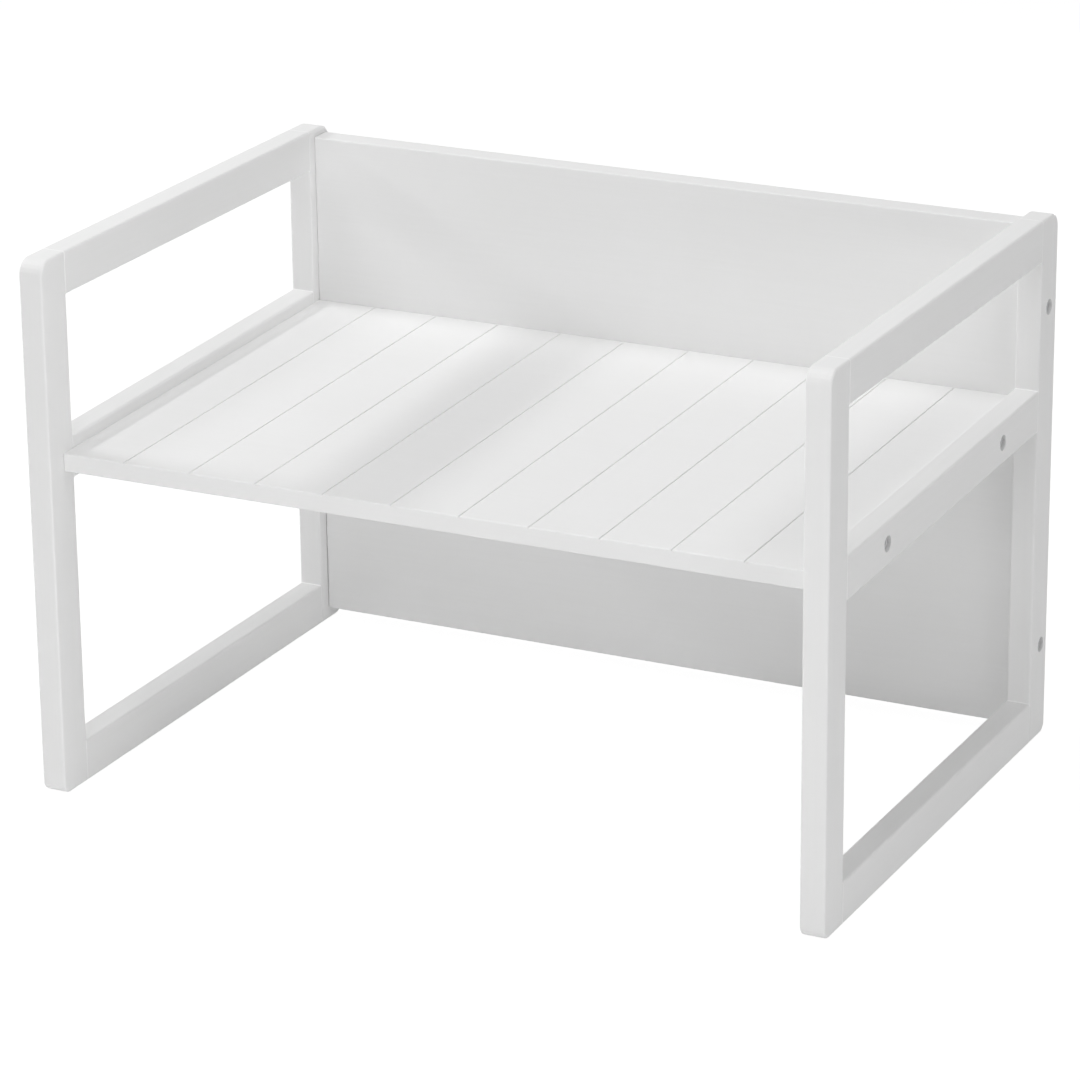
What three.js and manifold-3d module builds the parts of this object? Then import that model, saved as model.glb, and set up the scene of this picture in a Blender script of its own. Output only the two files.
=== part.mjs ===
// A child's turn-over bench: two painted side frames, a grooved seat and a plain back board,
// held together by socket head bolts with barrel nuts and located by wooden dowels.
// Millimetres. +X runs to the right seen from the front, +Y to the rear and +Z up.
// The origin lies on the floor in the middle of the bench.

import * as THREE from "three";
import { mergeVertices } from "three/addons/utils/BufferGeometryUtils.js";
import Module from "manifold-3d";

const wasm = await Module();
wasm.setup();

// Overall sizes of the bench.
const BENCH_WIDTH = 590;
const BENCH_DEPTH = 400;
const BENCH_HEIGHT = 385;

// Frame stock: every post and rail is cut from it.
const STOCK_FACE = 30;
const STOCK_THICKNESS = 18;
const STOCK_EASE = 1.5;
const POST_TOP_RADIUS = 11;
const POST_FOOT_RADIUS = 7;

// Seat and back boards.
const SEAT_THICKNESS = 13;
const BACK_THICKNESS = 18;
const BOARD_EASE = 1;
const SEAT_TILT_DEG = 1.45;
const BACK_TILT_DEG = 0.5;
const SEAT_RAIL_DROP = 141.5;
const SEAT_FRONT_SETBACK = 17;
const BACK_FRONT_SETBACK = 8.5;
const BACK_TOP_GAP = 5.5;
const BACK_FLOOR_GAP = 9;

// V grooves along the seat, which divide it into narrow boards.
const GROOVE_PITCH = 51;
const GROOVE_WIDTH = 1.2;
const GROOVE_DEPTH = 1.2;

// Socket head bolts and their barrel nuts.
const BOLT_DIAMETER = 6;
const BOLT_LENGTH = 50;
const BOLT_TIP_CHAMFER = 1;
const BOLT_HEAD_DIAMETER = 10;
const BOLT_HEAD_HEIGHT = 6;
const BOLT_HEAD_CHAMFER = 0.6;
const BOLT_HEAD_RECESS = 2.2;
const SOCKET_ACROSS_FLATS = 5;
const SOCKET_DEPTH = 3;
const BARREL_NUT_DIAMETER = 10;
const BARREL_NUT_LENGTH = 10;
const BARREL_NUT_CHAMFER = 0.5;
const BARREL_NUT_SLOT_WIDTH = 1.4;
const BARREL_NUT_SLOT_DEPTH = 1.5;
const BARREL_NUT_INSET = 32;
const SEAT_BOLT_INSET = 67;
const BACK_BOLT_INSET = 60;

// Fluted wooden dowels.
const DOWEL_DIAMETER = 8;
const DOWEL_LENGTH = 30;
const DOWEL_CHAMFER = 1;
const DOWEL_FLUTE_DEPTH = 0.3;
const DOWEL_SPACING = 14;
const PANEL_DOWEL_DEPTH_IN_FRAME = 10;
const SEAT_DOWEL_INSET = 25;

// Clearances.
const JOINT_GAP = 0.2;
const BOARD_END_GAP = 0.3;
const SEAT_TO_BACK_GAP = 0.3;
const BOLT_HOLE_CLEARANCE = 0.3;
const BOLT_TIP_CLEARANCE = 3;
const COUNTERBORE_CLEARANCE = 0.5;
const BOLT_SEAT_GAP = 0.2;
const THREAD_CLEARANCE = 0.15;
const NUT_HOLE_CLEARANCE = 0.2;
const DOWEL_HOLE_CLEARANCE = 0.2;
const DOWEL_END_CLEARANCE = 0.5;
const CUT_OVERRUN = 1;

// Counts that set how finely round forms are divided.
const EASE_STEPS = 3;
const CORNER_STEPS = 6;
const DOWEL_FLUTES = 6;
const HOLE_SIDES = 12;
const BOLT_SIDES = 16;
const COUNTERBORE_SIDES = 24;
const NUT_SIDES = 16;

// Sizes worked out from the ones above.
const SEAT_TILT = THREE.MathUtils.degToRad(SEAT_TILT_DEG);
const BACK_TILT = THREE.MathUtils.degToRad(BACK_TILT_DEG);
const TILT_DIFFERENCE = SEAT_TILT - BACK_TILT;
const QUARTER_TURN = Math.PI / 2;
const POST_REACH = (BENCH_DEPTH - STOCK_FACE) / 2;
const RAIL_LENGTH = BENCH_DEPTH - 2 * STOCK_FACE - 2 * JOINT_GAP;
const FRAME_CENTRE_X = (BENCH_WIDTH - STOCK_THICKNESS) / 2;
const OPENING_REACH = BENCH_DEPTH / 2 - STOCK_FACE;
const BOARD_LENGTH = BENCH_WIDTH - 2 * STOCK_THICKNESS - 2 * BOARD_END_GAP;
const BACK_HEIGHT = BENCH_HEIGHT - BACK_TOP_GAP - BACK_FLOOR_GAP;
const BACK_CENTRE_Z = BACK_FLOOR_GAP + BACK_HEIGHT / 2;
const BACK_CENTRE_Y = OPENING_REACH + BACK_FRONT_SETBACK + BACK_THICKNESS / 2;
const BACK_BOLT_REACH = BACK_HEIGHT / 2 - BACK_BOLT_INSET;
const SEAT_RAIL_CENTRE_HEIGHT = BENCH_HEIGHT - SEAT_RAIL_DROP;
const SEAT_RAIL_RISE = OPENING_REACH * Math.tan(SEAT_TILT);
const SEAT_BOLT_REACH = OPENING_REACH - SEAT_BOLT_INSET;
const SEAT_DOWEL_REACH = OPENING_REACH - SEAT_DOWEL_INSET;
const COUNTERBORE_DEPTH = BOLT_HEAD_RECESS + BOLT_HEAD_HEIGHT + BOLT_SEAT_GAP;
const BOLT_HEAD_FACE_X = STOCK_THICKNESS / 2 - BOLT_HEAD_RECESS;
const DOWEL_HOLE_RADIUS = DOWEL_DIAMETER / 2 + DOWEL_HOLE_CLEARANCE;
const BOLT_HOLE_RADIUS = BOLT_DIAMETER / 2 + BOLT_HOLE_CLEARANCE;

// The seat's middle plane runs through the seat rails. Distance along it is measured from
// the middle of the frame.
function seatPlace(along) {
  return { y: along * Math.cos(SEAT_TILT), z: SEAT_RAIL_CENTRE_HEIGHT + along * Math.sin(SEAT_TILT) };
}

// The back board leans forward a little. Height is measured along its middle plane from its centre.
function backPlace(height) {
  return {
    y: BACK_CENTRE_Y - height * Math.sin(BACK_TILT),
    z: BACK_CENTRE_Z + height * Math.cos(BACK_TILT),
  };
}

// Distance along the seat's middle plane at which its rear edge would meet the back board.
const BACK_FACE_DISTANCE = BACK_CENTRE_Y * Math.cos(BACK_TILT)
  + (BACK_CENTRE_Z - SEAT_RAIL_CENTRE_HEIGHT) * Math.sin(BACK_TILT) - BACK_THICKNESS / 2;
const SEAT_EDGE_SKEW = SEAT_THICKNESS / 2 * Math.abs(Math.sin(TILT_DIFFERENCE));
const SEAT_BACK_LIMIT = (BACK_FACE_DISTANCE - SEAT_EDGE_SKEW) / Math.cos(TILT_DIFFERENCE);
const SEAT_REAR = SEAT_BACK_LIMIT - SEAT_TO_BACK_GAP;
const SEAT_FRONT = SEAT_FRONT_SETBACK - BENCH_DEPTH / 2;
const SEAT_DEPTH = SEAT_REAR - SEAT_FRONT;

// Materials.
const whitePaint = new THREE.MeshStandardMaterial({ color: 0xe8e8e6, roughness: 0.42, metalness: 0 });
const boardPaint = new THREE.MeshStandardMaterial({ color: 0xe6e6e4, roughness: 0.45, metalness: 0 });
const zinc = new THREE.MeshStandardMaterial({ color: 0x9b9da0, roughness: 0.35, metalness: 0.9 });
const beech = new THREE.MeshStandardMaterial({ color: 0xd8b98c, roughness: 0.7, metalness: 0 });

// Closed mesh to solid, and back.
function solidOf(geometry) {
  const bare = geometry.clone();
  bare.deleteAttribute("normal");
  bare.deleteAttribute("uv");
  const welded = mergeVertices(bare);
  const vertProperties = new Float32Array(welded.attributes.position.array);
  const triVerts = new Uint32Array(welded.index.array);
  return new wasm.Manifold(new wasm.Mesh({ numProp: 3, vertProperties, triVerts }));
}

function geometryOf(solid) {
  const mesh = solid.getMesh();
  const geometry = new THREE.BufferGeometry();
  geometry.setAttribute("position", new THREE.BufferAttribute(mesh.vertProperties, mesh.numProp));
  geometry.setIndex(new THREE.BufferAttribute(mesh.triVerts, 1));
  geometry.computeVertexNormals();
  return geometry;
}

function cut(geometry, cutters) {
  return geometryOf(cutters.reduce((rest, cutter) => rest.subtract(solidOf(cutter)), solidOf(geometry)));
}

// Round cutters along X and Y, from one end to the other.
function holeAlongX(radius, from, to, y, z, sides) {
  const hole = new THREE.CylinderGeometry(radius, radius, Math.abs(to - from), sides);
  return hole.rotateZ(QUARTER_TURN).translate((from + to) / 2, y, z);
}

function holeAlongY(radius, from, to, x, z, sides) {
  const hole = new THREE.CylinderGeometry(radius, radius, Math.abs(to - from), sides);
  return hole.translate(x, (from + to) / 2, z);
}

// A plate in the YZ plane with eased edges all round, centred on x = 0.
function easedPlate(outline, thickness, ease) {
  const plate = new THREE.ExtrudeGeometry(outline, {
    depth: thickness - 2 * ease,
    bevelThickness: ease,
    bevelSize: ease,
    bevelOffset: -ease,
    bevelSegments: EASE_STEPS,
    curveSegments: 1,
  });
  plate.translate(0, 0, ease - thickness / 2);
  return plate.applyMatrix4(new THREE.Matrix4().makeBasis(
    new THREE.Vector3(0, 1, 0), new THREE.Vector3(0, 0, 1), new THREE.Vector3(1, 0, 0)));
}

// Points of a round corner, from one angle to the next.
function cornerPoints(centreX, centreY, radius, startAngle, steps) {
  return Array.from({ length: steps + 1 }, (_, i) => {
    const angle = startAngle + QUARTER_TURN * i / steps;
    return new THREE.Vector2(centreX + radius * Math.cos(angle), centreY + radius * Math.sin(angle));
  });
}

// Side view of a post whose round corners lie on the +Y side, from the floor up.
function postOutline() {
  const half = STOCK_FACE / 2;
  const foot = POST_FOOT_RADIUS;
  const top = POST_TOP_RADIUS;
  return new THREE.Shape([
    ...cornerPoints(half - foot, foot, foot, -QUARTER_TURN, CORNER_STEPS),
    ...cornerPoints(half - top, BENCH_HEIGHT - top, top, 0, CORNER_STEPS),
    new THREE.Vector2(-half, BENCH_HEIGHT),
    new THREE.Vector2(-half, 0),
  ]);
}

// Rail stock along Y: thickness in X, face in Z, long edges eased, ends square.
function railStock(length) {
  const halfX = STOCK_THICKNESS / 2 - STOCK_EASE;
  const halfZ = STOCK_FACE / 2 - STOCK_EASE;
  const section = new THREE.Shape([
    ...cornerPoints(halfX, halfZ, STOCK_EASE, 0, EASE_STEPS),
    ...cornerPoints(-halfX, halfZ, STOCK_EASE, QUARTER_TURN, EASE_STEPS),
    ...cornerPoints(-halfX, -halfZ, STOCK_EASE, 2 * QUARTER_TURN, EASE_STEPS),
    ...cornerPoints(halfX, -halfZ, STOCK_EASE, 3 * QUARTER_TURN, EASE_STEPS),
  ]);
  const stock = new THREE.ExtrudeGeometry(section, { depth: length, bevelEnabled: false });
  return stock.translate(0, 0, -length / 2).rotateX(QUARTER_TURN);
}

// Heights at which the dowels of one rail enter a post: a pair about the rail's middle.
function dowelHeights(railHeight) {
  return [railHeight - DOWEL_SPACING / 2, railHeight + DOWEL_SPACING / 2];
}

// The three rails of a frame, with the height of each one's middle at the front and rear posts.
const RAILS = [
  { name: "top_rail", front: BENCH_HEIGHT - STOCK_FACE / 2, rear: BENCH_HEIGHT - STOCK_FACE / 2 },
  {
    name: "seat_rail",
    front: SEAT_RAIL_CENTRE_HEIGHT - SEAT_RAIL_RISE,
    rear: SEAT_RAIL_CENTRE_HEIGHT + SEAT_RAIL_RISE,
  },
  { name: "foot_rail", front: STOCK_FACE / 2, rear: STOCK_FACE / 2 },
];

// Where the bolts and dowels of the two boards pass through a frame.
const SEAT_BOLTS = [
  { name: "front_seat", along: -SEAT_BOLT_REACH },
  { name: "rear_seat", along: SEAT_BOLT_REACH },
];
const SEAT_DOWELS = [
  { name: "front_seat", along: -SEAT_DOWEL_REACH },
  { name: "rear_seat", along: SEAT_DOWEL_REACH },
];
const BACK_BOLTS = [
  { name: "upper_back", height: BACK_BOLT_REACH },
  { name: "lower_back", height: -BACK_BOLT_REACH },
];

// The back's dowels stand midway between its bolts and the rear ends of the seat rails.
const SEAT_RAIL_REAR_HEIGHT = SEAT_RAIL_CENTRE_HEIGHT + SEAT_RAIL_RISE - BACK_CENTRE_Z;
const BACK_DOWELS = [
  { name: "upper_back", height: (BACK_BOLT_REACH + SEAT_RAIL_REAR_HEIGHT + STOCK_FACE / 2) / 2 },
  { name: "lower_back", height: (SEAT_RAIL_REAR_HEIGHT - STOCK_FACE / 2 - BACK_BOLT_REACH) / 2 },
];

// Through hole and counterbore for one bolt. The head lies on the frame's outer side.
function boltCutters(side, y, z) {
  const outer = side * STOCK_THICKNESS / 2;
  const past = side * CUT_OVERRUN;
  const counterbore = BOLT_HEAD_DIAMETER / 2 + COUNTERBORE_CLEARANCE;
  return [
    holeAlongX(BOLT_HOLE_RADIUS, -outer - past, outer + past, y, z, HOLE_SIDES),
    holeAlongX(counterbore, outer - side * COUNTERBORE_DEPTH, outer + past, y, z, COUNTERBORE_SIDES),
  ];
}

// Blind hole in the frame's inner face for a dowel that locates a board.
function frameDowelCutter(side, y, z) {
  const inner = -side * STOCK_THICKNESS / 2;
  const bottom = inner + side * (PANEL_DOWEL_DEPTH_IN_FRAME + DOWEL_END_CLEARANCE);
  return holeAlongX(DOWEL_HOLE_RADIUS, inner - side * CUT_OVERRUN, bottom, y, z, HOLE_SIDES);
}

// A post. facing is -1 for the front post and +1 for the rear one.
function postGeometry(side, facing) {
  const blank = easedPlate(postOutline(), STOCK_THICKNESS, STOCK_EASE);
  if (facing < 0) {
    blank.rotateZ(2 * QUARTER_TURN);
  }
  const inner = -facing * STOCK_FACE / 2;
  const bottom = inner + facing * (DOWEL_LENGTH / 2 + DOWEL_END_CLEARANCE);
  const heights = RAILS.flatMap((rail) => dowelHeights(facing < 0 ? rail.front : rail.rear));
  const cutters = heights.map((z) => (
    holeAlongY(DOWEL_HOLE_RADIUS, inner - facing * CUT_OVERRUN, bottom, 0, z, HOLE_SIDES)));
  if (facing > 0) {
    for (const bolt of BACK_BOLTS) {
      const place = backPlace(bolt.height);
      cutters.push(...boltCutters(side, place.y - POST_REACH, place.z));
    }
    for (const dowel of BACK_DOWELS) {
      const place = backPlace(dowel.height);
      cutters.push(frameDowelCutter(side, place.y - POST_REACH, place.z));
    }
  }
  return cut(blank, cutters);
}

// Dowel holes in both ends of a rail, about the heights of its two ends.
function railDowelCutters(frontHeight, rearHeight) {
  const end = RAIL_LENGTH / 2;
  const depth = DOWEL_LENGTH / 2 + DOWEL_END_CLEARANCE - JOINT_GAP;
  return [
    ...dowelHeights(frontHeight).map((z) => (
      holeAlongY(DOWEL_HOLE_RADIUS, -end - CUT_OVERRUN, depth - end, 0, z, HOLE_SIDES))),
    ...dowelHeights(rearHeight).map((z) => (
      holeAlongY(DOWEL_HOLE_RADIUS, end - depth, end + CUT_OVERRUN, 0, z, HOLE_SIDES))),
  ];
}

// A level rail, with its middle at height zero.
function levelRailGeometry() {
  return cut(railStock(RAIL_LENGTH), railDowelCutters(0, 0));
}

// The seat rail slopes with the seat, and its ends are cut upright to meet the posts.
function seatRailGeometry(side) {
  const stock = solidOf(railStock(RAIL_LENGTH + 2 * STOCK_FACE).rotateX(SEAT_TILT));
  const span = new THREE.BoxGeometry(2 * STOCK_THICKNESS, RAIL_LENGTH, BENCH_HEIGHT);
  const cutters = railDowelCutters(-SEAT_RAIL_RISE, SEAT_RAIL_RISE);
  for (const bolt of SEAT_BOLTS) {
    const place = seatPlace(bolt.along);
    cutters.push(...boltCutters(side, place.y, place.z - SEAT_RAIL_CENTRE_HEIGHT));
  }
  for (const dowel of SEAT_DOWELS) {
    const place = seatPlace(dowel.along);
    cutters.push(frameDowelCutter(side, place.y, place.z - SEAT_RAIL_CENTRE_HEIGHT));
  }
  return cut(geometryOf(stock.intersect(solidOf(span))), cutters);
}

// A fluted dowel along Z, centred on its own middle.
function dowelGeometry() {
  const points = Array.from({ length: 2 * DOWEL_FLUTES }, (_, i) => {
    const radius = DOWEL_DIAMETER / 2 - (i % 2) * DOWEL_FLUTE_DEPTH;
    const angle = Math.PI * i / DOWEL_FLUTES;
    return new THREE.Vector2(radius * Math.cos(angle), radius * Math.sin(angle));
  });
  const dowel = new THREE.ExtrudeGeometry(new THREE.Shape(points), {
    depth: DOWEL_LENGTH - 2 * DOWEL_CHAMFER,
    bevelThickness: DOWEL_CHAMFER,
    bevelSize: DOWEL_CHAMFER,
    bevelOffset: -DOWEL_CHAMFER,
    bevelSegments: 1,
  });
  return dowel.translate(0, 0, DOWEL_CHAMFER - DOWEL_LENGTH / 2);
}

// A socket head bolt along Z: the head's face at zero, the shank towards -Z.
function boltGeometry() {
  const headRadius = BOLT_HEAD_DIAMETER / 2;
  const shankRadius = BOLT_DIAMETER / 2;
  const tip = -BOLT_HEAD_HEIGHT - BOLT_LENGTH;
  const body = new THREE.LatheGeometry([
    new THREE.Vector2(0, tip),
    new THREE.Vector2(shankRadius - BOLT_TIP_CHAMFER, tip),
    new THREE.Vector2(shankRadius, tip + BOLT_TIP_CHAMFER),
    new THREE.Vector2(shankRadius, -BOLT_HEAD_HEIGHT),
    new THREE.Vector2(headRadius, -BOLT_HEAD_HEIGHT),
    new THREE.Vector2(headRadius, -BOLT_HEAD_CHAMFER),
    new THREE.Vector2(headRadius - BOLT_HEAD_CHAMFER, 0),
    new THREE.Vector2(0, 0),
  ], BOLT_SIDES).rotateX(QUARTER_TURN);
  const socketRadius = SOCKET_ACROSS_FLATS / Math.sqrt(3);
  const socket = new THREE.CylinderGeometry(socketRadius, socketRadius, SOCKET_DEPTH + CUT_OVERRUN, 6);
  socket.rotateX(QUARTER_TURN).translate(0, 0, (CUT_OVERRUN - SOCKET_DEPTH) / 2);
  return cut(body, [socket]);
}

// A barrel nut along Z, centred on its cross hole, which runs along X. The slot that turns it
// lies in its +Z end and follows the cross hole.
function barrelNutGeometry() {
  const radius = BARREL_NUT_DIAMETER / 2;
  const end = BARREL_NUT_LENGTH / 2;
  const body = new THREE.LatheGeometry([
    new THREE.Vector2(0, -end),
    new THREE.Vector2(radius - BARREL_NUT_CHAMFER, -end),
    new THREE.Vector2(radius, BARREL_NUT_CHAMFER - end),
    new THREE.Vector2(radius, end - BARREL_NUT_CHAMFER),
    new THREE.Vector2(radius - BARREL_NUT_CHAMFER, end),
    new THREE.Vector2(0, end),
  ], NUT_SIDES).rotateX(QUARTER_TURN);
  const thread = holeAlongX(BOLT_DIAMETER / 2 + THREAD_CLEARANCE, -radius - CUT_OVERRUN,
    radius + CUT_OVERRUN, 0, 0, BOLT_SIDES);
  const slot = new THREE.BoxGeometry(BARREL_NUT_DIAMETER + CUT_OVERRUN, BARREL_NUT_SLOT_WIDTH,
    2 * BARREL_NUT_SLOT_DEPTH);
  return cut(body, [thread, slot.translate(0, 0, end)]);
}

// Cutters in one end of a board for a bolt and its barrel nut. The board lies in XY with its
// hidden face towards -Z, and across places the pair along Y.
function boardBoltCutters(side, across, thickness) {
  const end = side * BOARD_LENGTH / 2;
  const reach = BOLT_LENGTH - (STOCK_THICKNESS - COUNTERBORE_DEPTH) - BOARD_END_GAP;
  const bottom = end - side * (reach + BOLT_TIP_CLEARANCE);
  const nutX = end - side * BARREL_NUT_INSET;
  const nutTop = BARREL_NUT_LENGTH / 2 + NUT_HOLE_CLEARANCE;
  const nutMouth = -thickness / 2 - CUT_OVERRUN;
  const nutRadius = BARREL_NUT_DIAMETER / 2 + NUT_HOLE_CLEARANCE;
  const nutHole = new THREE.CylinderGeometry(nutRadius, nutRadius, nutTop - nutMouth, COUNTERBORE_SIDES);
  nutHole.rotateX(QUARTER_TURN).translate(nutX, across, (nutTop + nutMouth) / 2);
  return [
    holeAlongX(BOLT_HOLE_RADIUS, bottom, end + side * CUT_OVERRUN, across, 0, HOLE_SIDES),
    nutHole,
  ];
}

// Blind hole in one end of a board for a locating dowel.
function boardDowelCutter(side, across) {
  const end = side * BOARD_LENGTH / 2;
  const depth = DOWEL_LENGTH - PANEL_DOWEL_DEPTH_IN_FRAME - BOARD_END_GAP + DOWEL_END_CLEARANCE;
  return holeAlongX(DOWEL_HOLE_RADIUS, end - side * depth, end + side * CUT_OVERRUN, across, 0, HOLE_SIDES);
}

// A board in the XY plane with its long and short edges eased, centred on the origin.
function easedBoard(depth, thickness) {
  const halfX = BOARD_LENGTH / 2;
  const halfY = depth / 2;
  const outline = new THREE.Shape([
    new THREE.Vector2(-halfX, -halfY),
    new THREE.Vector2(halfX, -halfY),
    new THREE.Vector2(halfX, halfY),
    new THREE.Vector2(-halfX, halfY),
  ]);
  const board = new THREE.ExtrudeGeometry(outline, {
    depth: thickness - 2 * BOARD_EASE,
    bevelThickness: BOARD_EASE,
    bevelSize: BOARD_EASE,
    bevelOffset: -BOARD_EASE,
    bevelSegments: EASE_STEPS,
  });
  return board.translate(0, 0, BOARD_EASE - thickness / 2);
}

// One V groove from the front edge of the seat to the rear edge.
function grooveCutter(x) {
  const top = SEAT_THICKNESS / 2;
  const flare = GROOVE_WIDTH / 2 * (GROOVE_DEPTH + CUT_OVERRUN) / GROOVE_DEPTH;
  const section = new THREE.Shape([
    new THREE.Vector2(x, top - GROOVE_DEPTH),
    new THREE.Vector2(x + flare, top + CUT_OVERRUN),
    new THREE.Vector2(x - flare, top + CUT_OVERRUN),
  ]);
  const length = SEAT_DEPTH + 2 * CUT_OVERRUN;
  const cutter = new THREE.ExtrudeGeometry(section, { depth: length, bevelEnabled: false });
  return cutter.translate(0, 0, -length / 2).rotateX(QUARTER_TURN);
}

// Places along the seat and back boards, measured from each board's own centre.
const SEAT_CENTRE = (SEAT_FRONT + SEAT_REAR) / 2;

function seatGeometry() {
  const grooveCount = Math.floor(BOARD_LENGTH / GROOVE_PITCH);
  const cutters = Array.from({ length: grooveCount }, (_, i) => (
    grooveCutter((i - (grooveCount - 1) / 2) * GROOVE_PITCH)));
  for (const side of [-1, 1]) {
    for (const bolt of SEAT_BOLTS) {
      cutters.push(...boardBoltCutters(side, bolt.along - SEAT_CENTRE, SEAT_THICKNESS));
    }
    for (const dowel of SEAT_DOWELS) {
      cutters.push(boardDowelCutter(side, dowel.along - SEAT_CENTRE));
    }
  }
  return cut(easedBoard(SEAT_DEPTH, SEAT_THICKNESS), cutters);
}

// The back board is cut lying down, with its front face up and its top edge towards +Y.
function backGeometry() {
  const cutters = [];
  for (const side of [-1, 1]) {
    for (const bolt of BACK_BOLTS) {
      cutters.push(...boardBoltCutters(side, bolt.height, BACK_THICKNESS));
    }
    for (const dowel of BACK_DOWELS) {
      cutters.push(boardDowelCutter(side, dowel.height));
    }
  }
  return cut(easedBoard(BACK_HEIGHT, BACK_THICKNESS), cutters);
}

// Scene graph.
const bench = new THREE.Group();

function addMesh(parent, name, geometry, material) {
  const mesh = new THREE.Mesh(geometry, material);
  mesh.name = name;
  parent.add(mesh);
  return mesh;
}

const dowelShape = dowelGeometry();
const boltShape = boltGeometry();
const nutShape = barrelNutGeometry();
const levelRailShape = levelRailGeometry();

function addSideFrame(label, side) {
  const frame = new THREE.Group();
  frame.position.x = side * FRAME_CENTRE_X;
  bench.add(frame);

  const frontPost = addMesh(frame, `${label}_front_post`, postGeometry(side, -1), whitePaint);
  frontPost.position.y = -POST_REACH;
  const rearPost = addMesh(frame, `${label}_rear_post`, postGeometry(side, 1), whitePaint);
  rearPost.position.y = POST_REACH;

  for (const rail of RAILS) {
    const shape = rail.name === "seat_rail" ? seatRailGeometry(side) : levelRailShape;
    const mesh = addMesh(frame, `${label}_${rail.name}`, shape, whitePaint);
    mesh.position.z = (rail.front + rail.rear) / 2;
    for (const [end, facing, height] of [["front", -1, rail.front], ["rear", 1, rail.rear]]) {
      dowelHeights(height).forEach((z, i) => {
        const name = `${label}_${end}_${rail.name}_dowel_${i + 1}`;
        const dowel = addMesh(frame, name, dowelShape, beech);
        dowel.rotation.x = QUARTER_TURN;
        dowel.position.set(0, facing * OPENING_REACH, z);
      });
    }
  }
}

// A bolt through the frame on one side, and a dowel from that frame into a board.
function addBolt(name, side, y, z) {
  const bolt = addMesh(bench, name, boltShape, zinc);
  bolt.rotation.y = side * QUARTER_TURN;
  bolt.position.set(side * (FRAME_CENTRE_X + BOLT_HEAD_FACE_X), y, z);
}

function addBoardDowel(name, side, place) {
  const dowel = addMesh(bench, name, dowelShape, beech);
  dowel.rotation.y = QUARTER_TURN;
  const inner = FRAME_CENTRE_X - STOCK_THICKNESS / 2;
  dowel.position.set(side * (inner + PANEL_DOWEL_DEPTH_IN_FRAME - DOWEL_LENGTH / 2), place.y, place.z);
}

const NUT_X = BOARD_LENGTH / 2 - BARREL_NUT_INSET;

// The seat and the back board each lie in a group that leans with the board.
const seatGroup = new THREE.Group();
const seatCentre = seatPlace(SEAT_CENTRE);
seatGroup.position.set(0, seatCentre.y, seatCentre.z);
seatGroup.rotation.x = SEAT_TILT;
bench.add(seatGroup);

const backGroup = new THREE.Group();
backGroup.position.set(0, BACK_CENTRE_Y, BACK_CENTRE_Z);
backGroup.rotation.x = BACK_TILT + QUARTER_TURN;
bench.add(backGroup);

addSideFrame("left", -1);
addSideFrame("right", 1);
addMesh(seatGroup, "seat_panel", seatGeometry(), boardPaint);
addMesh(backGroup, "back_panel", backGeometry(), boardPaint);

for (const [label, side] of [["left", -1], ["right", 1]]) {
  for (const bolt of SEAT_BOLTS) {
    const place = seatPlace(bolt.along);
    addBolt(`${label}_${bolt.name}_bolt`, side, place.y, place.z);
    const nut = addMesh(seatGroup, `${label}_${bolt.name}_nut`, nutShape, zinc);
    nut.rotation.x = 2 * QUARTER_TURN;
    nut.position.set(side * NUT_X, bolt.along - SEAT_CENTRE, 0);
  }
  for (const bolt of BACK_BOLTS) {
    const place = backPlace(bolt.height);
    addBolt(`${label}_${bolt.name}_bolt`, side, place.y, place.z);
    const nut = addMesh(backGroup, `${label}_${bolt.name}_nut`, nutShape, zinc);
    nut.rotation.x = 2 * QUARTER_TURN;
    nut.position.set(side * NUT_X, bolt.height, 0);
  }
  for (const dowel of SEAT_DOWELS) {
    addBoardDowel(`${label}_${dowel.name}_dowel`, side, seatPlace(dowel.along));
  }
  for (const dowel of BACK_DOWELS) {
    addBoardDowel(`${label}_${dowel.name}_dowel`, side, backPlace(dowel.height));
  }
}

export default bench;
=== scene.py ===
import math

import bmesh
import bpy
import numpy as np
from mathutils import Matrix, Vector


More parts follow.
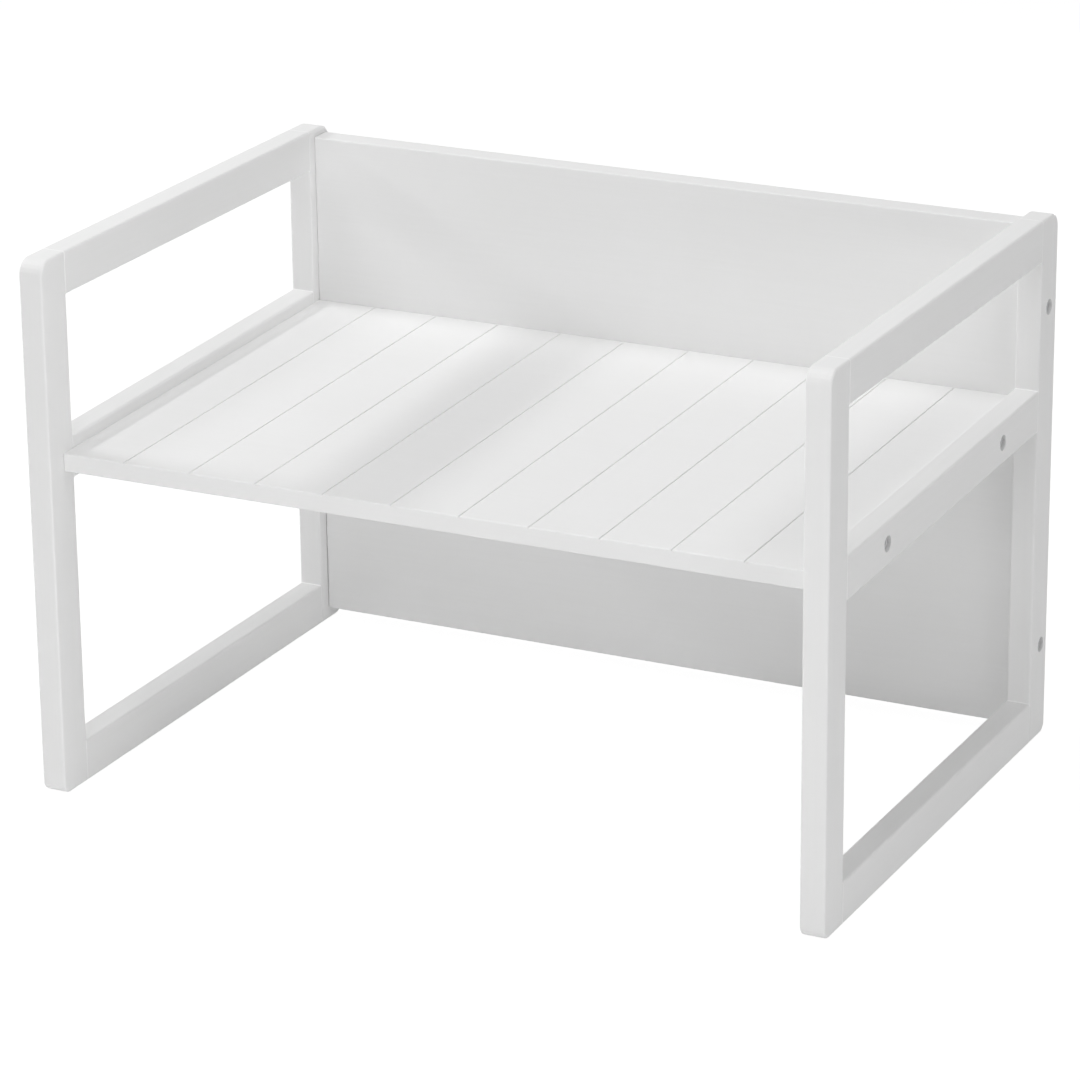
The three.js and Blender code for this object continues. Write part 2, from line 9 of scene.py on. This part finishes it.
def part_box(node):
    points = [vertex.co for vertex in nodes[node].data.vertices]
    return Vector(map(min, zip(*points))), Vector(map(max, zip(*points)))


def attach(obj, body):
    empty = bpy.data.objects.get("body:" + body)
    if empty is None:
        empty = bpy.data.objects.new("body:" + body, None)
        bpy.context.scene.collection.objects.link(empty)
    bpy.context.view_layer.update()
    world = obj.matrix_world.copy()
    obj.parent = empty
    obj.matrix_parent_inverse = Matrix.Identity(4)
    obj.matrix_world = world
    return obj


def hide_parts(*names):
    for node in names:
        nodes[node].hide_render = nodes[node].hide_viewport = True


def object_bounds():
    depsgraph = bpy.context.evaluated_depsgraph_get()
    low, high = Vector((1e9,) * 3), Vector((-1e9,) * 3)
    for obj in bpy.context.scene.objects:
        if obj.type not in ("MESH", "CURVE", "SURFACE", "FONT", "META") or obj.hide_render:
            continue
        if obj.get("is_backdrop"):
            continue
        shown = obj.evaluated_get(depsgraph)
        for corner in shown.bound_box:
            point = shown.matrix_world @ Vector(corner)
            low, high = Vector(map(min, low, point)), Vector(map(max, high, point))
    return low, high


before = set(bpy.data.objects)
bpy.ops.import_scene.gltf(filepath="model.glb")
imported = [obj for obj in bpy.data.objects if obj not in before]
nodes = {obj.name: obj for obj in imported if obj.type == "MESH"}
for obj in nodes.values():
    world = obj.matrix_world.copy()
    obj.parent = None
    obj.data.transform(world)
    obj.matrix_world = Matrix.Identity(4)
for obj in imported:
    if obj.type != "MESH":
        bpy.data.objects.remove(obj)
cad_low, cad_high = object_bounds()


# Side frames. Each is two posts and three rails of planed softwood, 30 by 18 mm, dowelled and
# glued end to face, sanded round at the corners and sprayed with white satin lacquer. The film
# rounds every arris a little and lets the grain of each stick show through very faintly.
class Value:
    """An output socket of a finish. Arithmetic on values adds Math nodes to its tree."""

    def __init__(self, finish, socket):
        self.finish = finish
        self.socket = socket

    def math(self, operation, *others):
        inputs = dict(enumerate((self, *others)))
        return self.finish.node("Math", inputs, operation=operation)[0]

    def __add__(self, other):
        return self.math("ADD", other)

    __radd__ = __add__

    def __mul__(self, other):
        return self.math("MULTIPLY", other)

    __rmul__ = __mul__


class Finish:
    """The node tree of a new material, or of the world, built node by node."""

    MIX_COLOUR_A, MIX_COLOUR_B, MIX_COLOUR_OUT = 6, 7, 2
    OBJECT_COORDINATES = 3

    def __init__(self, name, owner=None):
        self.material = owner or bpy.data.materials.new(name)
        self.material.use_nodes = True
        self.tree = self.material.node_tree
        self.tree.nodes.clear()

    def node(self, kind, sockets=None, **settings):
        """Adds a node. Its settings are set first, then the values or links of its sockets.
        Returns its outputs as values."""
        made = self.tree.nodes.new("ShaderNode" + kind)
        for name, setting in settings.items():
            setattr(made, name, setting)
        for key, given in (sockets or {}).items():
            if isinstance(given, Value):
                self.tree.links.new(given.socket, made.inputs[key])
            else:
                made.inputs[key].default_value = given
        return [Value(self, socket) for socket in made.outputs]

    def noise(self, scale, detail=2.0, roughness=0.5):
        """Noise on the piece's own coordinates. Scale counts its grains per metre, one number
        for each axis."""
        point = self.node("TexCoord")[self.OBJECT_COORDINATES]
        spot = self.node("Mapping", {"Vector": point, "Scale": scale})[0]
        sockets = {"Vector": spot, "Scale": 1.0, "Detail": detail, "Roughness": roughness}
        return self.node("TexNoise", sockets)[0]

    def blend(self, factor, colour_a, colour_b):
        """A colour between two, by a value from 0 to 1."""
        sockets = {0: factor, self.MIX_COLOUR_A: colour_a, self.MIX_COLOUR_B: colour_b}
        return self.node("Mix", sockets, data_type="RGBA")[self.MIX_COLOUR_OUT]

    def bump(self, height, depth, normal=None):
        """A bumped normal from a height of 0 to 1 that stands for depth metres."""
        sockets = {"Height": height, "Distance": depth}
        if normal is not None:
            sockets["Normal"] = normal
        return self.node("Bump", sockets)[0]

    def shade(self, **sockets):
        """Ends the tree in a Principled shader and returns the material."""
        names = {name.replace("_", " "): given for name, given in sockets.items()}
        shader = self.node("BsdfPrincipled", names)[0]
        self.node("OutputMaterial", {"Surface": shader})
        return self.material


WHITE_LACQUER = (0.850, 0.850, 0.850, 1.0)
WHITE_LACQUER_THIN = (0.825, 0.825, 0.822, 1.0)
GRAIN_ALONG = {"x": (14, 520, 520), "y": (520, 14, 520), "z": (520, 520, 14)}
CLOUD_SCALE = (9, 9, 9)
PEEL_SCALE = (760, 760, 760)
PEEL_DEPTH = 0.00002


def lacquer(name, along, grain_depth, roughness=0.42, tones=(WHITE_LACQUER_THIN, WHITE_LACQUER)):
    """White satin lacquer on wood whose grain runs along one axis. Its tone follows wide clouds
    and the grain, its gloss the clouds and a fine orange peel."""
    finish = Finish(name)
    cloud = finish.noise(CLOUD_SCALE, detail=3.0)
    grain = finish.noise(GRAIN_ALONG[along], detail=3.0, roughness=0.6)
    peel = finish.noise(PEEL_SCALE, detail=1.5)
    mottle = {"Value": cloud * 0.6 + grain * 0.4, "From Min": 0.3, "From Max": 0.7}
    under = finish.bump(grain, grain_depth)
    return finish.shade(
        Base_Color=finish.blend(finish.node("MapRange", mottle)[0], *tones),
        Roughness=cloud * 0.08 + peel * 0.05 + (roughness - 0.065),
        Normal=finish.bump(peel, PEEL_DEPTH, normal=under),
        IOR=1.48,
        Specular_IOR_Level=0.16,
    )


def film(node, width):
    """Rounds a node's sharp arrises as a coat of lacquer does, and evens its shading."""
    modifiers = nodes[node].modifiers
    weld = modifiers.new("weld", "WELD")
    weld.merge_threshold = 0.00001
    flat = modifiers.new("flat", "DECIMATE")
    flat.decimate_type = "DISSOLVE"
    flat.angle_limit = math.radians(0.4)
    arris = modifiers.new("arris", "BEVEL")
    arris.width = width
    arris.segments = 2
    arris.limit_method = "ANGLE"
    arris.angle_limit = math.radians(40)
    arris.use_clamp_overlap = True
    arris.harden_normals = False
    even = modifiers.new("even", "WEIGHTED_NORMAL")
    even.weight = 50
    even.keep_sharp = True


def finish_node(node, material):
    """Gives a node one material and a slot."""
    nodes[node].data.materials.clear()
    nodes[node].data.materials.append(material)


FRAME_FILM = 0.0003
STICKS = {
    "front_post": "z", "rear_post": "z", "top_rail": "y", "seat_rail": "y", "foot_rail": "y",
}
STICK_LACQUER = {
    "z": lacquer("lacquer_on_posts", "z", 0.00003),
    "y": lacquer("lacquer_on_rails", "y", 0.00003),
}
for side in ("left", "right"):
    for stick, along in STICKS.items():
        finish_node(f"{side}_{stick}", STICK_LACQUER[along])
        film(f"{side}_{stick}", FRAME_FILM)


# Joints between posts and rails. Filler and lacquer are taken to close each joint. The fill is a
# little lighter than the sticks, and that is painted light: a painted highlight for the light on
# the joints' arrises, which also lifts the shade in their channels, so the joints show as fine
# light lines.
# On the outer sides the fill lies in a shallow channel, and a small fillet lies in every inner
# corner.
MM = 0.001
STOCK_HALF = (9.0, 15.0)
STOCK_ROUND = 1.5
FRAME_MIDDLE_X = 286.0
OPENING_REACH = 170.0
JOINT_REACH = OPENING_REACH - 0.1
ARMREST_MIDDLE = 370.0
FOOT_MIDDLE = 15.0
SEAT_MIDDLE = 243.5
SEAT_LEAN = math.radians(1.45)
OUTLINE_POINTS = 48
LEVEL_FILL = (
    (-0.50, -0.08), (-0.38, 0.00), (-0.10, 0.00), (0.20, 0.00), (0.38, 0.00), (0.52, -0.08),
)
INNER_FILL = (
    (-0.50, -0.14), (-0.38, -0.11), (-0.10, -0.10), (0.20, -0.10), (0.38, -0.11), (0.52, -0.14),
)
SIDE_FILL = {
    "front": (
        (-0.50, -0.08), (-0.40, 0.00), (-0.20, -0.02), (0.05, -0.05), (0.30, -0.09), (0.55, -0.35),
    ),
    "rear": (
        (-0.38, -0.35), (-0.12, -0.09), (0.10, -0.05), (0.28, -0.02), (0.42, 0.00), (0.52, -0.08),
    ),
}
CORNER_FILL = (
    (-0.60, -0.08), (-0.44, 0.00), (-0.16, 0.07), (-0.02, 0.22), (0.07, 0.46), (0.14, 0.62),
)
INSIDE_FILL = ((0.09, -1.4), (-0.09, -1.4))
# Painted highlight: these tones are lighter than the sticks' lacquer, standing in for the light on
# the joints' arrises and lifting the shade in their channels.
PAINTED_HIGHLIGHT_TONES = ((0.93, 0.93, 0.93, 1.0), (0.97, 0.97, 0.97, 1.0))
JOINT_LACQUER_WITH_PAINTED_HIGHLIGHT = lacquer("lacquer_on_joints_painted_highlight", "x", 0.00001, tones=PAINTED_HIGHLIGHT_TONES)
JOINTS = {
    "top_rail": (ARMREST_MIDDLE, 0.0, LEVEL_FILL, CORNER_FILL),
    "seat_rail": (SEAT_MIDDLE, OPENING_REACH * math.tan(SEAT_LEAN), CORNER_FILL, CORNER_FILL),
    "foot_rail": (FOOT_MIDDLE, 0.0, CORNER_FILL, LEVEL_FILL),
}


def shape_object(name, points, close_rows=False, marks=None):
    """A mesh from a grid of points in mm, closed across its columns. The rows are closed too, or
    end in poles. Marks are one number for each point. Doubles are merged and the faces turned
    out."""
    rows, columns = points.shape[:2]
    row, column = np.meshgrid(
        np.arange(rows if close_rows else rows - 1), np.arange(columns), indexing="ij")
    next_row, next_column = (row + 1) % rows, (column + 1) % columns
    corners = np.stack((row * columns + column, row * columns + next_column,
                        next_row * columns + next_column, next_row * columns + column), -1)
    mesh = bpy.data.meshes.new(name)
    mesh.from_pydata((points.reshape(-1, 3) * MM).tolist(), [], corners.reshape(-1, 4).tolist())
    if marks is not None:
        kept = mesh.attributes.new("ring_place", "FLOAT", "POINT")
        kept.data.foreach_set("value", marks.ravel().astype(np.float32))
    shell = bmesh.new()
    shell.from_mesh(mesh)
    bmesh.ops.remove_doubles(shell, verts=shell.verts, dist=0.000001)
    bmesh.ops.recalc_face_normals(shell, faces=shell.faces)
    shell.to_mesh(mesh)
    shell.free()
    mesh.shade_smooth()
    obj = bpy.data.objects.new(name, mesh)
    bpy.context.scene.collection.objects.link(obj)
    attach(obj, "root")
    return obj


def joint_fill(name, side, end, middle, outer, above, below):
    """The rail's rounded outline swept along the joint. At each outline point the fill's own
    profile, step and stand-off, is weighted from its outer, inner, upper and lower forms by the
    squares of the outward direction's parts."""
    half_turn = math.pi / OUTLINE_POINTS
    turn = np.linspace(0, 2 * math.pi, OUTLINE_POINTS, endpoint=False) + half_turn
    out = np.stack([np.cos(turn), np.sin(turn)], -1)
    corner = np.sign(out) * (np.array(STOCK_HALF) - STOCK_ROUND)
    profiles = [np.array(form + INSIDE_FILL) for form in (outer, INNER_FILL, above, below)]
    across, up = side * out[:, 0], out[:, 1]
    weights = np.clip([across, -across, up, -up], 0, 1) ** 2
    profile = sum(weight[:, None, None] * form for weight, form in zip(weights, profiles))
    ring = corner[:, None] + out[:, None] * (STOCK_ROUND + profile[..., 1:])
    y = end * (JOINT_REACH + profile[..., 0])
    points = np.stack([side * FRAME_MIDDLE_X + ring[..., 0], y, middle + ring[..., 1]], -1)
    return shape_object(name, points, close_rows=True)


for side, way in (("left", -1), ("right", 1)):
    for rail, (middle, climb, above, below) in JOINTS.items():
        for place, end in (("front", -1), ("rear", 1)):
            name = f"{side}_{place}_{rail}_joint"
            height = middle + end * climb
            fill = joint_fill(name, way, end, height, SIDE_FILL[place], above, below)
            fill.data.materials.append(JOINT_LACQUER_WITH_PAINTED_HIGHLIGHT)


# Seat and back, two lacquered boards, the seat 13 mm and the back 18 mm thick, with their edges
# eased. The seat has ten fine V grooves cut from front to rear, which the film softens at mouth
# and bottom.
BOARD_FILM = 0.00025
BOARD_LACQUER = lacquer("lacquer_on_boards", "x", 0.000012, roughness=0.45)
for name in ("seat_panel", "back_panel"):
    finish_node(name, BOARD_LACQUER)
    film(name, BOARD_FILM)


# Seams round the boards. The bolts draw the boards against the frames, and lacquer is taken to
# bridge what is left between their eased edges. Below the seat the back's joints stay open.
BOARD_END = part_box("seat_panel")[1][0] / MM
SEAT_FRONT, SEAT_REAR = -183.0, 177.67
SEAT_HALF, BACK_HALF, BACK_REACH = 6.5, 9.0, 185.25
SEAT_MEETS_BACK = 58.0
EDGE_ROUND = 0.9
REAR_SINK, SEAT_SINK, BACK_SINK = 0.05, 0.12, 0.8
BACK_LEAN = math.radians(0.5)
ACROSS = np.array([1.0, 0.0, 0.0])
SEAT_RUN = np.array([0.0, math.cos(SEAT_LEAN), math.sin(SEAT_LEAN)])
SEAT_UP = np.array([0.0, -math.sin(SEAT_LEAN), math.cos(SEAT_LEAN)])
BACK_RUN = np.array([0.0, -math.sin(BACK_LEAN), math.cos(BACK_LEAN)])
BACK_FORE = np.array([0.0, -math.cos(BACK_LEAN), -math.sin(BACK_LEAN)])
SEAT_CENTRE = np.array([0.0, 0.0, SEAT_MIDDLE])
BACK_CENTRE = np.array([0.0, 187.5, 194.25])


def seam(name, start, end, over, out, sink):
    """A straight bead from start to end. Its section, in steps over the gap and out from the
    board's face, is a shallow trough that starts under the board's eased edge, dips by the sink
    and climbs the frame. Both ends close in a pole."""
    section = np.array([
        (-0.95, -0.10), (-0.72, -0.05), (-0.35, -0.10 - 0.6 * sink), (0.0, -0.08 - sink),
        (0.22, -0.5 * sink), (0.33, 0.12), (0.42, 0.12), (0.42, -1.3), (-0.15, -1.3)])
    ring = section[:, :1] * over + section[:, 1:] * out
    pole = np.broadcast_to(ring.mean(axis=0), ring.shape)
    bead = shape_object(name, np.stack([start + pole, start + ring, end + ring, end + pole]))
    bead.data.materials.append(BOARD_LACQUER)
    bead.data.set_sharp_from_angle(angle=math.radians(50))


for side, way in (("left", -1), ("right", 1)):
    edge = way * BOARD_END * ACROSS
    for face, up in (("top", 1), ("under", -1)):
        level = SEAT_CENTRE + edge + up * SEAT_HALF * SEAT_UP
        ends = [level + run * SEAT_RUN for run in (SEAT_FRONT + EDGE_ROUND, SEAT_REAR - 0.3)]
        seam(f"{side}_seat_{face}_seam", *ends, way * ACROSS, up * SEAT_UP, SEAT_SINK)
    front = BACK_CENTRE + edge + BACK_HALF * BACK_FORE
    ends = [front + run * BACK_RUN for run in (SEAT_MEETS_BACK, BACK_REACH - EDGE_ROUND)]
    seam(f"{side}_back_seam", *ends, way * ACROSS, BACK_FORE, BACK_SINK)
for face, up, inset in (("top", 1, 0.0), ("under", -1, 0.12)):
    line = SEAT_CENTRE + (SEAT_REAR + inset) * SEAT_RUN + up * SEAT_HALF * SEAT_UP
    ends = [line + way * (BOARD_END - 0.3) * ACROSS for way in (-1, 1)]
    seam(f"rear_seat_{face}_seam", *ends, SEAT_RUN, up * SEAT_UP, REAR_SINK)


# Bolts. Eight zinc plated socket head bolts, turned from steel with a rolled thread and a pressed
# hexagon, hold the boards' ends against the frames. Their heads lie deep in the frames' recesses.
ZINC_DARK = (0.44, 0.44, 0.45, 1.0)
ZINC_LIGHT = (0.58, 0.58, 0.59, 1.0)
ATTRIBUTE_NUMBER = 2
HEAD_FACE = 292.8
HEAD_RADIUS = 5.0
HEAD_HEIGHT = 6.0
SHANK_RADIUS = 3.0
SHANK_START = 6.6
SHANK_END = 56.0
THREAD_PITCH = 1.0
THREAD_DEPTH = 0.55
THREAD_FADE = 1.5
TIP_HEIGHT = 0.6
SOCKET_HALF = 2.5
SOCKET_DEPTH = 3.0
TURN_STEPS = 36


def zinc_plate(name, rings):
    """Dull zinc plating, with fine turning marks where the piece carries its ring places."""
    finish = Finish(name)
    cloud = finish.noise((300, 300, 300), detail=3.0)
    fine = finish.noise((2600, 2600, 2600), detail=1.0)
    skin = finish.bump(fine, 0.00001)
    if rings:
        place = finish.node("Attribute", attribute_name="ring_place")[ATTRIBUTE_NUMBER]
        sockets = {"W": place, "Scale": 9.0, "Detail": 2.0}
        marks = finish.node("TexNoise", sockets, noise_dimensions="1D")[0]
        skin = finish.bump(marks, 0.00002, normal=skin)
    return finish.shade(
        Base_Color=finish.blend(cloud, ZINC_DARK, ZINC_LIGHT),
        Roughness=cloud * 0.14 + fine * 0.06 + 0.36,
        Normal=skin,
        Metallic=0.85,
    )


def bolt_surface():
    """Radius over depth and angle. In the socket it is the hexagon's, half its width over the
    cosine of the angle from the nearest flat. On the shank it follows the thread, a wave of depth
    over pitch less turn. Elsewhere it is round. Returns depth, radius and angle."""
    angle = np.arange(TURN_STEPS) * (2 * math.pi / TURN_STEPS)
    from_flat = (angle + math.pi / 6) % (math.pi / 3) - math.pi / 6
    hexagon = SOCKET_HALF / np.cos(from_flat)
    whole = np.ones_like(angle)
    socket = [(3.7, 0.0 * whole), (3.35, 1.2 * whole), (SOCKET_DEPTH, hexagon), (0.35, hexagon)]
    head = [(depth, radius * whole) for depth, radius in (
        (0.0, 3.15), (0.0, 3.6), (0.0, 4.1), (0.03, 4.4), (0.22, 4.72), (0.55, 4.93),
        (1.0, HEAD_RADIUS), (5.6, HEAD_RADIUS), (HEAD_HEIGHT, 4.7), (HEAD_HEIGHT, 3.3),
        (6.3, SHANK_RADIUS))]
    thread_end = SHANK_END - TIP_HEIGHT
    depth = np.arange(SHANK_START, thread_end, THREAD_PITCH / 4)
    phase = (depth[:, None] / THREAD_PITCH - angle[None] / (2 * math.pi)) % 1.0
    wave = np.clip(1.25 * np.abs(2 * phase - 1) - 0.125, 0, 1)
    fade = np.clip((thread_end - depth) / THREAD_FADE, 0, 1)[:, None]
    shank = list(zip(depth, SHANK_RADIUS - THREAD_DEPTH * (wave * fade + (1 - fade))))
    tip = [(SHANK_END - 0.4, 2.3 * whole), (SHANK_END, 1.9 * whole), (SHANK_END, 0.0 * whole)]
    rows = socket + head + shank + tip
    depths = np.array([place for place, _ in rows])[:, None] * whole
    return depths, np.array([radius for _, radius in rows]), angle


BOLT_TURNED = zinc_plate("zinc_plate_turned", True)
BOLT_DEPTH, BOLT_RADIUS, BOLT_ANGLE = bolt_surface()
for side, way in (("left", -1), ("right", 1)):
    for place in ("front_seat", "rear_seat", "upper_back", "lower_back"):
        name = f"{side}_{place}_bolt"
        low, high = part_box(name)
        x = way * (HEAD_FACE - BOLT_DEPTH)
        y = (low[1] + high[1]) / 2 / MM + BOLT_RADIUS * np.cos(BOLT_ANGLE)
        z = (low[2] + high[2]) / 2 / MM + BOLT_RADIUS * np.sin(BOLT_ANGLE)
        points = np.stack([x, y, z], -1)
        bolt = shape_object(f"{name}_turned", points, marks=BOLT_DEPTH + BOLT_RADIUS)
        bolt.data.materials.append(BOLT_TURNED)
        bolt.data.set_sharp_from_angle(angle=math.radians(42))
        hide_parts(name)


# Barrel nuts, turned and cross drilled, in holes bored from the boards' hidden faces, with a slot
# for a screwdriver. They are steel and zinc plated, as the bolts are.
NUT_FILM = 0.00015
NUT_PLATE = zinc_plate("zinc_plate", False)
for name in nodes:
    if name.endswith("_nut"):
        finish_node(name, NUT_PLATE)
        film(name, NUT_FILM)


# Dowels, fluted beech, unfinished. They sit glued in the frames' joints and dry in the boards,
# where no side shows them.
BEECH_DARK = (0.52, 0.33, 0.17, 1.0)
BEECH_LIGHT = (0.70, 0.50, 0.30, 1.0)
beech_finish = Finish("beech_dowel")
fibre = beech_finish.noise((900, 90, 900), detail=3.0)
BEECH = beech_finish.shade(
    Base_Color=beech_finish.blend(fibre, BEECH_DARK, BEECH_LIGHT),
    Roughness=fibre * 0.2 + 0.55,
    Normal=beech_finish.bump(fibre, 0.00004),
)
for name in nodes:
    if "dowel" in name:
        finish_node(name, BEECH)


# Camera. It stands to the front right of the bench and looks down on it through a long lens,
# turned a little about its own axis. Its place is counted from the frame's middle, to the
# camera's right, upward and away.
VIEW_TURN = 0.4623
VIEW_DROP = 0.3471
VIEW_ROLL = -0.0100
VIEW_PLACE = (5.60 * MM, 26.02 * MM, 3248.1 * MM)
FOCAL_PIXELS = 4692.9
IMAGE_PIXELS = 1080
FRAME_MIDDLE = Vector((0.0, 0.0, cad_high.z / 2))

ahead = Vector((-math.sin(VIEW_TURN), math.cos(VIEW_TURN), 0.0))
right = Vector((math.cos(VIEW_TURN), math.sin(VIEW_TURN), 0.0))
up = Vector((0.0, 0.0, 1.0))
look = ahead * math.cos(VIEW_DROP) - up * math.sin(VIEW_DROP)
rise = up * math.cos(VIEW_DROP) + ahead * math.sin(VIEW_DROP)
across = right * math.cos(VIEW_ROLL) + rise * math.sin(VIEW_ROLL)
upright = rise * math.cos(VIEW_ROLL) - right * math.sin(VIEW_ROLL)
eye = FRAME_MIDDLE - across * VIEW_PLACE[0] - upright * VIEW_PLACE[1] - look * VIEW_PLACE[2]
lens = bpy.data.cameras.new("camera")
lens.sensor_width = 36.0
lens.lens = lens.sensor_width * FOCAL_PIXELS / IMAGE_PIXELS
camera = bpy.data.objects.new("camera", lens)
bpy.context.scene.collection.objects.link(camera)
axes = Matrix((across, upright, -look)).transposed()
camera.matrix_world = Matrix.Translation(eye) @ axes.to_4x4()
bpy.context.scene.camera = camera


# Studio. A pale floor, a white surround and five large soft lamps. Floor and surround show white
# to the camera and in gloss, the floor with a trace of the bench's shadow, and otherwise light
# the bench as a pale floor and a dim room do.
FLOOR_DROP = 0.0004
FLOOR_REACH = 12.0
FLOOR_GREY = (0.92, 0.92, 0.92, 1.0)
FLOOR_SHADOW_GREY = (0.13, 0.13, 0.13, 1.0)
FLOOR_GLOW = 0.95
WHITE = (1.0, 1.0, 1.0, 1.0)
SURROUND_LIGHT = 0.26
CAMERA_RAY, GLOSSY_RAY, TRANSMISSION_RAY = 0, 3, 6
LAMPS = {
    "lamp_overhead": ((0.0, -0.3, 1.9), (0.0, -0.1, 0.0), (2.4, 1.6), 20.5),
    "lamp_front": ((0.1, -1.35, 0.32), (-0.1, 0.0, 0.2), (0.38, 0.5), 4.0),
    "lamp_left": ((-2.27, 0.0, 1.425), (-0.066, 0.0, 0.253), (0.8, 0.15), 19.0),
    "lamp_right": ((2.6, -0.6, 0.35), (-0.2, 0.0, 0.12), (0.9, 0.6), 11.0),
    "lamp_rear": ((0.0, 2.2, 0.2), (0.0, 0.2, 0.2), (0.5, 0.3), 9.0),
}


def looked_at(finish):
    """1 for camera, glossy and transmission rays, and 0 for all others."""
    path = finish.node("LightPath")
    seen = path[CAMERA_RAY].math("MAXIMUM", path[GLOSSY_RAY])
    return seen.math("MAXIMUM", path[TRANSMISSION_RAY])


floor_mesh = bpy.data.meshes.new("floor")
floor_corners = np.array([(-1, -1, 0), (1, -1, 0), (1, 1, 0), (-1, 1, 0)]) * FLOOR_REACH
floor_mesh.from_pydata((floor_corners - (0, 0, FLOOR_DROP)).tolist(), [], [(0, 1, 2, 3)])
floor = bpy.data.objects.new("floor", floor_mesh)
bpy.context.scene.collection.objects.link(floor)
floor_finish = Finish("floor")
plain = floor_finish.node("BsdfDiffuse", {"Color": FLOOR_GREY})[0]
shadow = floor_finish.node("BsdfDiffuse", {"Color": FLOOR_SHADOW_GREY})[0]
glow = floor_finish.node("Emission", {"Color": WHITE, "Strength": FLOOR_GLOW})[0]
pale = floor_finish.node("AddShader", {0: shadow, 1: glow})[0]
surface = floor_finish.node("MixShader", {0: looked_at(floor_finish), 1: plain, 2: pale})[0]
floor_finish.node("OutputMaterial", {"Surface": surface})
floor_mesh.materials.append(floor_finish.material)
floor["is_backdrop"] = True

bpy.context.scene.world = bpy.data.worlds.new("surround")
surround = Finish("surround", bpy.context.scene.world)
levels = {"Value": looked_at(surround), "To Min": SURROUND_LIGHT, "To Max": 1.0}
strength = surround.node("MapRange", levels)[0]
sky = surround.node("Background", {"Color": WHITE, "Strength": strength})[0]
surround.node("OutputWorld", {"Surface": sky})

for name, (place, aim, size, watts) in LAMPS.items():
    light = bpy.data.lights.new(name, "AREA")
    light.shape = "RECTANGLE"
    light.size, light.size_y = size
    light.energy = watts
    lamp = bpy.data.objects.new(name, light)
    lamp.location = place
    lamp.rotation_mode = "QUATERNION"
    lamp.rotation_quaternion = (Vector(aim) - Vector(place)).to_track_quat("-Z", "Y")
    bpy.context.scene.collection.objects.link(lamp)

view = bpy.context.scene.view_settings
view.view_transform = "Standard"

low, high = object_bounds()
